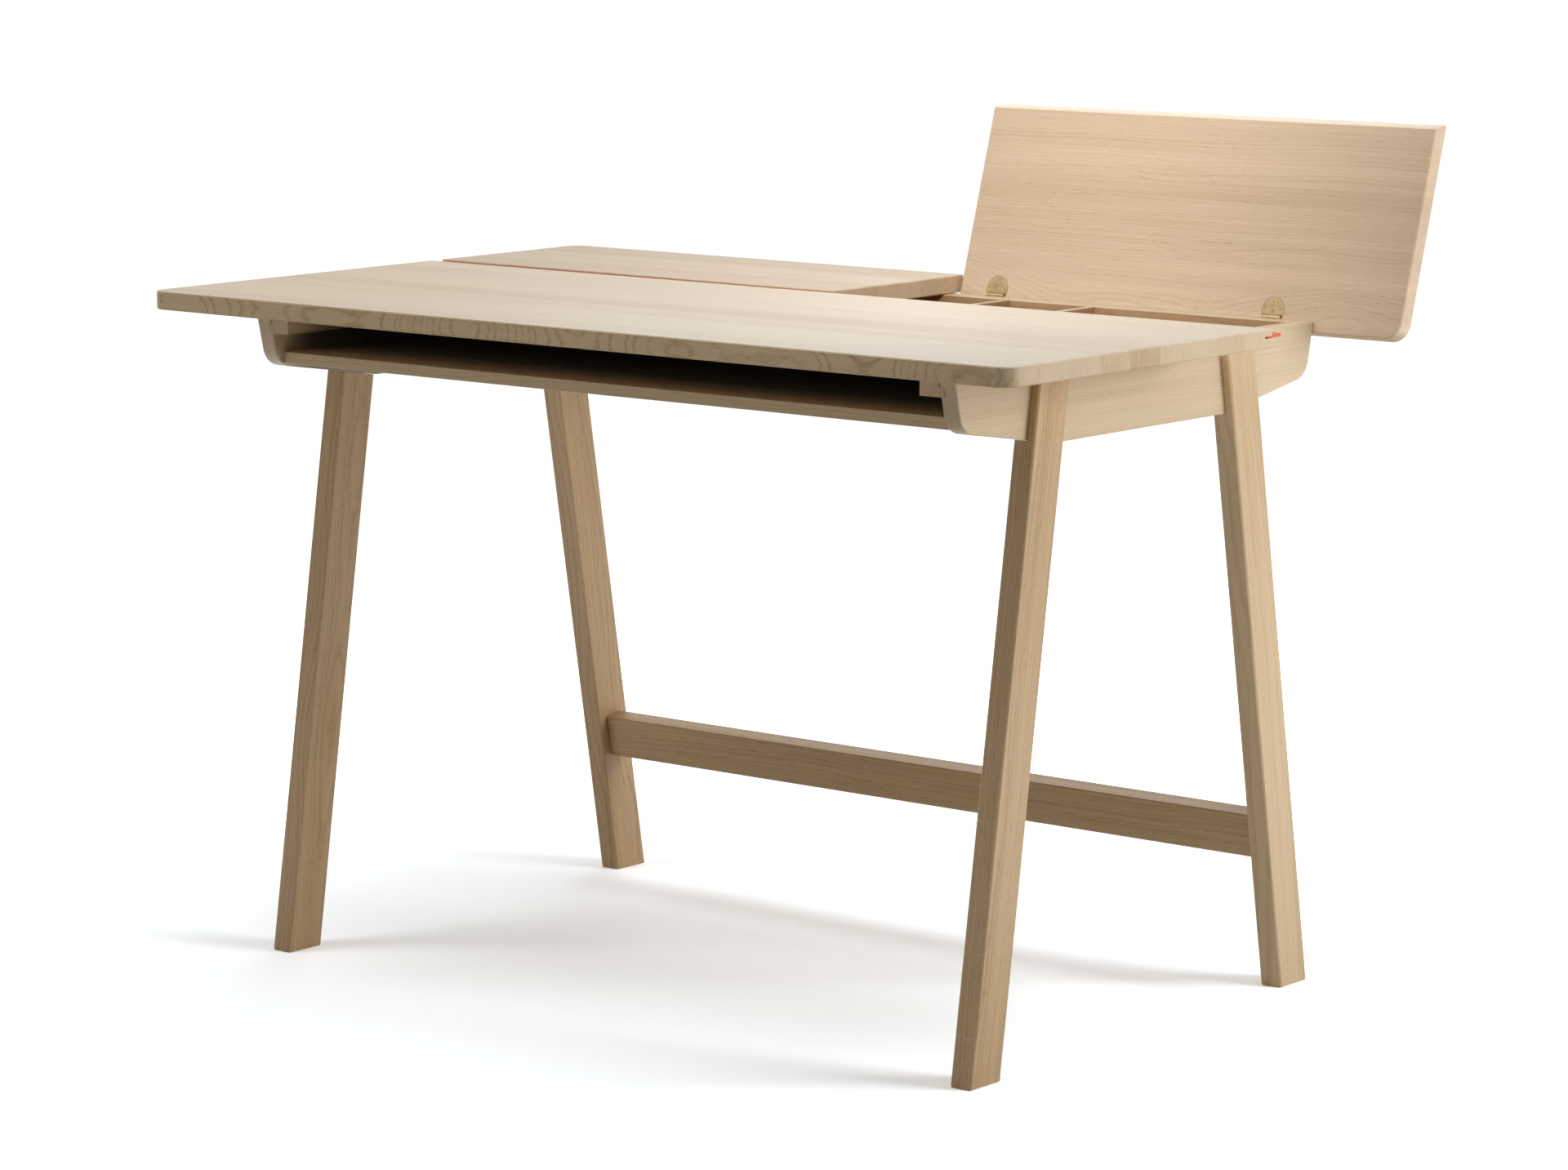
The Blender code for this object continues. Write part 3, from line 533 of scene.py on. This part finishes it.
shelf = Oak("bottom_board", ALONG_WIDTH, seed=11.0, stave=LID_STAVE, Line=0.3, Ring_Depth=0.5)
shade_inside(shelf, "Z", SHELF_SHADE_DEPTH, FRONT_PALE, FRONT_DEEP)
for panel, seed, inner_side in (("left_side_panel", 17.0, "X"), ("right_side_panel", 19.0, "-X")):
    side = Oak(panel, ALONG_DEPTH, seed, ring=0.003, Figure=0.5, Heart_Across=0.7, Ring_Depth=0.3)
    end = side.facing("-Y")
    shade_inside(side, inner_side, SIDE_SHADE_DEPTH, side.between(end, OAK_PALE, END_PALE),
                 side.between(end, OAK_DEEP, END_DEEP))

for board, turn, seed in (("compartment_back", ON_EDGE, 43.0), ("compartment_front", ON_EDGE, 45.0),
                          ("divider_1", ALONG_DEPTH, 47.0), ("divider_2", ALONG_DEPTH, 49.0)):
    inner = Oak(board, turn, seed, ring=0.0034)
    pale, deep = INSIDE_SHADE_PALE, INSIDE_SHADE_DEEP
    # The lining's shelf side gets the shelf's painted shade
    if board == "compartment_front":
        lining_shelf_shade = inner.facing("-Y")
        pale = inner.between(lining_shelf_shade, pale, SHADED_PALE)
        deep = inner.between(lining_shelf_shade, deep, SHADED_DEEP)
    # Painted shade on these boards' inner faces; the top edges keep the plain oak tone
    upper_edge = inner.facing("Z")
    inner.vary("Pale", upper_edge, pale, OAK_PALE)
    inner.vary("Deep", upper_edge, deep, OAK_DEEP)

# Brass
LEAF_BRIGHT = (0.52, 0.380, 0.20, 1)
LEAF_DULL = (0.37, 0.265, 0.13, 1)
SCREW_BRIGHT = (0.62, 0.50, 0.28, 1)
SCREW_DULL = (0.44, 0.35, 0.18, 1)
TARNISH_SCALE = 160.0
TARNISH_RANGE = (0.38, 0.68)
BRUSHING_COUNTS = (300.0, 5200.0, 5200.0)
BRASS_ROUGHNESS = 0.32
BRUSHING_ROUGHNESS = 0.12
TARNISH_ROUGHNESS = 0.16
BRASS_BUMP = 0.08
BRASS_BUMP_DEPTH = 0.0002


def build_metal_wear():
    """Fine brushing and faint clouds of tarnish."""
    tree, source, result = new_group(
        "metal_wear",
        [("Vector", VECTOR, None), ("Bright", COLOUR, LEAF_BRIGHT), ("Dull", COLOUR, LEAF_DULL)],
        [("Color", COLOUR), ("Roughness", NUMBER), ("Height", NUMBER)])
    patches = cloud(tree, source["Vector"], TARNISH_SCALE, detail=3.0, roughness=0.6)
    tarnish = remap(tree, patches, *TARNISH_RANGE)
    stretch = tree.nodes.new("ShaderNodeVectorMath")
    stretch.operation = "MULTIPLY"
    feed(tree, stretch.inputs[0], source["Vector"])
    stretch.inputs[1].default_value = BRUSHING_COUNTS
    brushing = cloud(tree, stretch.outputs[0])
    brushed = calc(tree, "MULTIPLY_ADD", brushing, BRUSHING_ROUGHNESS, BRASS_ROUGHNESS)
    feed(tree, result["Color"], blend(tree, tarnish, source["Bright"], source["Dull"]))
    feed(tree, result["Roughness"], calc(tree, "MULTIPLY_ADD", tarnish, TARNISH_ROUGHNESS, brushed))
    feed(tree, result["Height"], brushing)
    return tree


METAL_WEAR = build_metal_wear()


def brass(name, bright, dull):
    """Brass with its own tones."""
    material, tree, shader = new_material(name)
    spot = tree.nodes.new("ShaderNodeTexCoord").outputs["Object"]
    wear = place_group(tree, METAL_WEAR, Vector=spot, Bright=bright, Dull=dull)
    lead_surface(tree, shader, wear.outputs, BRASS_BUMP, BRASS_BUMP_DEPTH)
    shader.inputs["Metallic"].default_value = 1.0
    return material


LEAF_BRASS = brass("leaf_brass", LEAF_BRIGHT, LEAF_DULL)
SCREW_BRASS = brass("screw_brass", SCREW_BRIGHT, SCREW_DULL)
for node in NODES:
    if node.endswith("_pin"):
        dress(node, SCREW_BRASS)
    elif node.endswith("_leaf"):
        dress(node, LEAF_BRASS)

# Countersunk screws with a crossed recess
HINGE_SCREW_LENGTH = 0.0095
CLEAT_SCREW_LENGTH = 0.0345
HEAD_RADIUS = 0.0027
HEAD_RIM = 0.0001
HEAD_DEPTH = 0.0012
SHANK_RADIUS = 0.0014
POINT_LENGTH = 0.0015
CROSS_REACH = 0.00175
CROSS_HALF = 0.0004
CROSS_DEPTH = 0.0009
CROSS_TAPER = 0.75
LEAST_SINE = 0.001
TWIST_STEP = 0.7
CASE_TURN = QUARTER - BACK_LEAN


def cross_radius(angle):
    """How far the cross reaches from the middle in one direction."""
    folded = abs((angle + QUARTER / 2) % QUARTER - QUARTER / 2)
    return min(CROSS_REACH / math.cos(folded), CROSS_HALF / max(math.sin(folded), LEAST_SINE))


def screw_mesh(name, length):
    """Screw with its head's face at 0 and its shank going up."""
    corner = math.atan2(CROSS_HALF, CROSS_REACH)
    steps = (-QUARTER / 2, -QUARTER / 3, -corner, 0.0, corner, QUARTER / 3)
    angles = [quarter * QUARTER + step for quarter in range(4) for step in steps]
    bm = bmesh.new()

    def ring(height, radii):
        return [bm.verts.new((radius * math.cos(angle), radius * math.sin(angle), height))
                for angle, radius in zip(angles, radii)]

    def circle(height, radius):
        return ring(height, [radius] * len(angles))

    cross = [cross_radius(angle) for angle in angles]
    rings = [[bm.verts.new((0, 0, length))],
             circle(length - POINT_LENGTH, SHANK_RADIUS), circle(HEAD_DEPTH, SHANK_RADIUS),
             circle(HEAD_RIM, HEAD_RADIUS), circle(0.0, HEAD_RADIUS - HEAD_RIM),
             ring(0.0, cross), ring(CROSS_DEPTH, [radius * CROSS_TAPER for radius in cross]),
             [bm.verts.new((0, 0, CROSS_DEPTH))]]
    for near, far in zip(rings, rings[1:]):
        for index in range(len(angles)):
            after = (index + 1) % len(angles)
            corners = [near[index % len(near)], near[after % len(near)],
                       far[after % len(far)], far[index % len(far)]]
            bm.faces.new(list(dict.fromkeys(corners)))
    bmesh.ops.recalc_face_normals(bm, faces=bm.faces)
    mesh = bpy.data.meshes.new(name)
    bm.to_mesh(mesh)
    bm.free()
    mesh.materials.append(SCREW_BRASS)
    return mesh


def set_screw(node, mesh, body, turn, order):
    """Stand a screw in the place of a carried-over one."""
    down = Matrix.Rotation(turn, 3, "X")
    spots = [down.transposed() @ vertex.co for vertex in NODES[node].data.vertices]
    low, high = ([pick(spot[axis] for spot in spots) for axis in range(3)] for pick in (min, max))
    face = down @ Vector(((low[0] + high[0]) / 2, (low[1] + high[1]) / 2, low[2]))
    twist = Matrix.Rotation(TWIST_STEP * order, 3, "Z")
    screw = bpy.data.objects.new(node + "_cross", mesh)
    bpy.context.collection.objects.link(screw)
    screw.matrix_world = Matrix.Translation(face) @ (down @ twist).to_4x4()
    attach(screw, body)
    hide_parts(node)


HINGE_SCREW = screw_mesh("hinge_screw", HINGE_SCREW_LENGTH)
CLEAT_SCREW = screw_mesh("cleat_screw", CLEAT_SCREW_LENGTH)
for order, node in enumerate(sorted(name for name in NODES if "_screw_" in name)):
    side = node.split("_")[0]
    if "cleat" in node:
        set_screw(node, CLEAT_SCREW, "desk", 0.0, order)
    elif "case_leaf" in node:
        set_screw(node, HINGE_SCREW, "desk", CASE_TURN, order)
    else:
        set_screw(node, HINGE_SCREW, side + "_lid", -LID_TURN if side == "right" else 0.0, order)

# Felt
FELT_BRIGHT = (0.82, 0.19, 0.095, 1)
FELT_SHADE = (0.66, 0.12, 0.06, 1)
FELT_FIBRE_SCALE = 900.0
FELT_CLUMP_SCALE = 120.0
FELT_FIBRE_SHARE = 0.6
FELT_TONE_RANGE = (0.35, 0.65)
FELT_FIBRE_RANGE = (0.3, 0.7)
FELT_ROUGHNESS = (0.82, 0.98)
FELT_SHEEN = 0.25
FELT_SHEEN_ROUGHNESS = 0.5
FELT_BUMP = 0.4
FELT_BUMP_DEPTH = 0.0006


def felt(name, colour, shade):
    """Pressed felt with tangled fibres."""
    material, tree, shader = new_material(name)
    spot = tree.nodes.new("ShaderNodeTexCoord").outputs["Object"]
    fibres = cloud(tree, spot, FELT_FIBRE_SCALE, detail=4.0, roughness=0.65)
    clumps = calc(tree, "MULTIPLY", cloud(tree, spot, FELT_CLUMP_SCALE), 1.0 - FELT_FIBRE_SHARE)
    tangle = calc(tree, "MULTIPLY_ADD", fibres, FELT_FIBRE_SHARE, clumps)
    tone = remap(tree, tangle, *FELT_TONE_RANGE)
    feed(tree, shader.inputs["Base Color"], blend(tree, tone, shade, colour))
    feed(tree, shader.inputs["Roughness"], remap(tree, fibres, *FELT_FIBRE_RANGE, *FELT_ROUGHNESS))
    feed(tree, shader.inputs["Normal"], bump_from(tree, fibres, FELT_BUMP, FELT_BUMP_DEPTH))
    shader.inputs["Sheen Weight"].default_value = FELT_SHEEN
    shader.inputs["Sheen Roughness"].default_value = FELT_SHEEN_ROUGHNESS
    return material


dress("gap_strip", felt("orange_felt", FELT_BRIGHT, FELT_SHADE))

# Floor, light and camera
FLOOR_COLOUR = (0.86, 0.86, 0.86, 1)
FLOOR_SEEN = (2.10, 2.23, 2.41, 1)
FLOOR_REACH = 40.0
WHITE_FROM = 0.6
WHITE_BY = 1.5
WORLD_LIGHT = 0.05
WHITE = (1.0, 1.0, 1.0)
WARM_WHITE = (1.0, 0.96, 0.86)


def background_rays(tree):
    """1 for rays that only look at the background, 0 for rays that light the desk."""
    path = tree.nodes.new("ShaderNodeLightPath").outputs
    seen = calc(tree, "MAXIMUM", path["Is Camera Ray"], path["Is Glossy Ray"])
    return calc(tree, "MAXIMUM", seen, path["Is Transmission Ray"])


def make_floor():
    """Wide pale floor that stays near white and keeps the desk's shadow."""
    corners = [(FLOOR_REACH * x, FLOOR_REACH * y, 0) for x, y in ((-1, -1), (1, -1), (1, 1), (-1, 1))]
    mesh = bpy.data.meshes.new("studio_floor")
    mesh.from_pydata(corners, [], [(0, 1, 2, 3)])
    floor = bpy.data.objects.new("studio_floor", mesh)
    bpy.context.collection.objects.link(floor)
    material = bpy.data.materials.new("studio_floor")
    material.use_nodes = True
    tree = material.node_tree
    tree.nodes.clear()
    seen = background_rays(tree)
    matt = tree.nodes.new("ShaderNodeBsdfDiffuse")
    feed(tree, matt.inputs["Color"], blend(tree, seen, FLOOR_COLOUR, FLOOR_SEEN))
    away = tree.nodes.new("ShaderNodeVectorMath")
    away.operation = "LENGTH"
    feed(tree, away.inputs[0], tree.nodes.new("ShaderNodeTexCoord").outputs["Object"])
    white = remap(tree, away.outputs["Value"], WHITE_FROM, WHITE_BY, smooth=True)
    lift = tree.nodes.new("ShaderNodeEmission")
    feed(tree, lift.inputs["Strength"], calc(tree, "MULTIPLY", seen, white))
    both = tree.nodes.new("ShaderNodeAddShader")
    feed(tree, both.inputs[0], matt.outputs[0])
    feed(tree, both.inputs[1], lift.outputs[0])
    output = tree.nodes.new("ShaderNodeOutputMaterial")
    feed(tree, output.inputs["Surface"], both.outputs[0])
    mesh.materials.append(material)


def make_world():
    """White to look at, a low even light for the desk."""
    world = bpy.data.worlds.new("studio_world")
    world.use_nodes = True
    tree = world.node_tree
    backdrop = tree.nodes["Background"]
    feed(tree, backdrop.inputs["Strength"], remap(tree, background_rays(tree), 0.0, 1.0, WORLD_LIGHT, 1.0))
    backdrop.inputs["Color"].default_value = (*WHITE, 1)
    bpy.context.scene.world = world


def softbox(name, spot, aim, size, watts, spread=math.pi, colour=WHITE, glare=True):
    """Square studio lamp, with a grid where its spread is narrow; without glare it isn't mirrored."""
    light = bpy.data.lights.new(name, "AREA")
    light.shape = "SQUARE"
    light.size = size
    light.energy = watts
    light.color = colour
    light.spread = spread
    lamp = bpy.data.objects.new(name, light)
    lamp.location = spot
    lamp.rotation_euler = (Vector(aim) - Vector(spot)).to_track_quat("-Z", "Y").to_euler()
    lamp.visible_glossy = glare
    bpy.context.collection.objects.link(lamp)


def make_camera():
    """The photograph's viewpoint."""
    lens = bpy.data.cameras.new("photo_camera")
    lens.sensor_fit = "HORIZONTAL"
    lens.sensor_width = SENSOR_WIDTH
    lens.lens = FOCAL_PIXELS / IMAGE_WIDTH * SENSOR_WIDTH
    lens.clip_end = CAMERA_END
    camera = bpy.data.objects.new("photo_camera", lens)
    camera.location = CAMERA_SPOT
    camera.rotation_euler = CAMERA_AIM.to_track_quat("-Z", "Y").to_euler()
    bpy.context.collection.objects.link(camera)
    bpy.context.scene.camera = camera


make_floor()
make_world()
softbox("overhead_softbox", spot=(0.0, 0.2, 2.6), aim=(0.0, 0.1, 0.0), size=2.8, watts=33.0)
softbox("right_softbox", spot=(2.6, 1.0, 1.1), aim=(0.0, 0.1, 0.5), size=1.4, watts=42.0, glare=False)
softbox("front_left_softbox", spot=(-2.0, -2.2, 2.2), aim=(0.0, 0.0, 0.5), size=1.6, watts=18.8,
        colour=WARM_WHITE, glare=False)
softbox("rear_left_softbox", spot=(-1.6, 2.4, 1.7), aim=(0.0, 0.1, 0.6), size=1.6, watts=6.0)
softbox("open_lid_grid", spot=(0.9, -1.3, 1.9), aim=(0.15, 0.38, 0.86), size=0.4, watts=1.08,
        spread=math.radians(32))
make_camera()
bpy.context.scene.view_settings.view_transform = "Standard"

bpy.context.view_layer.update()
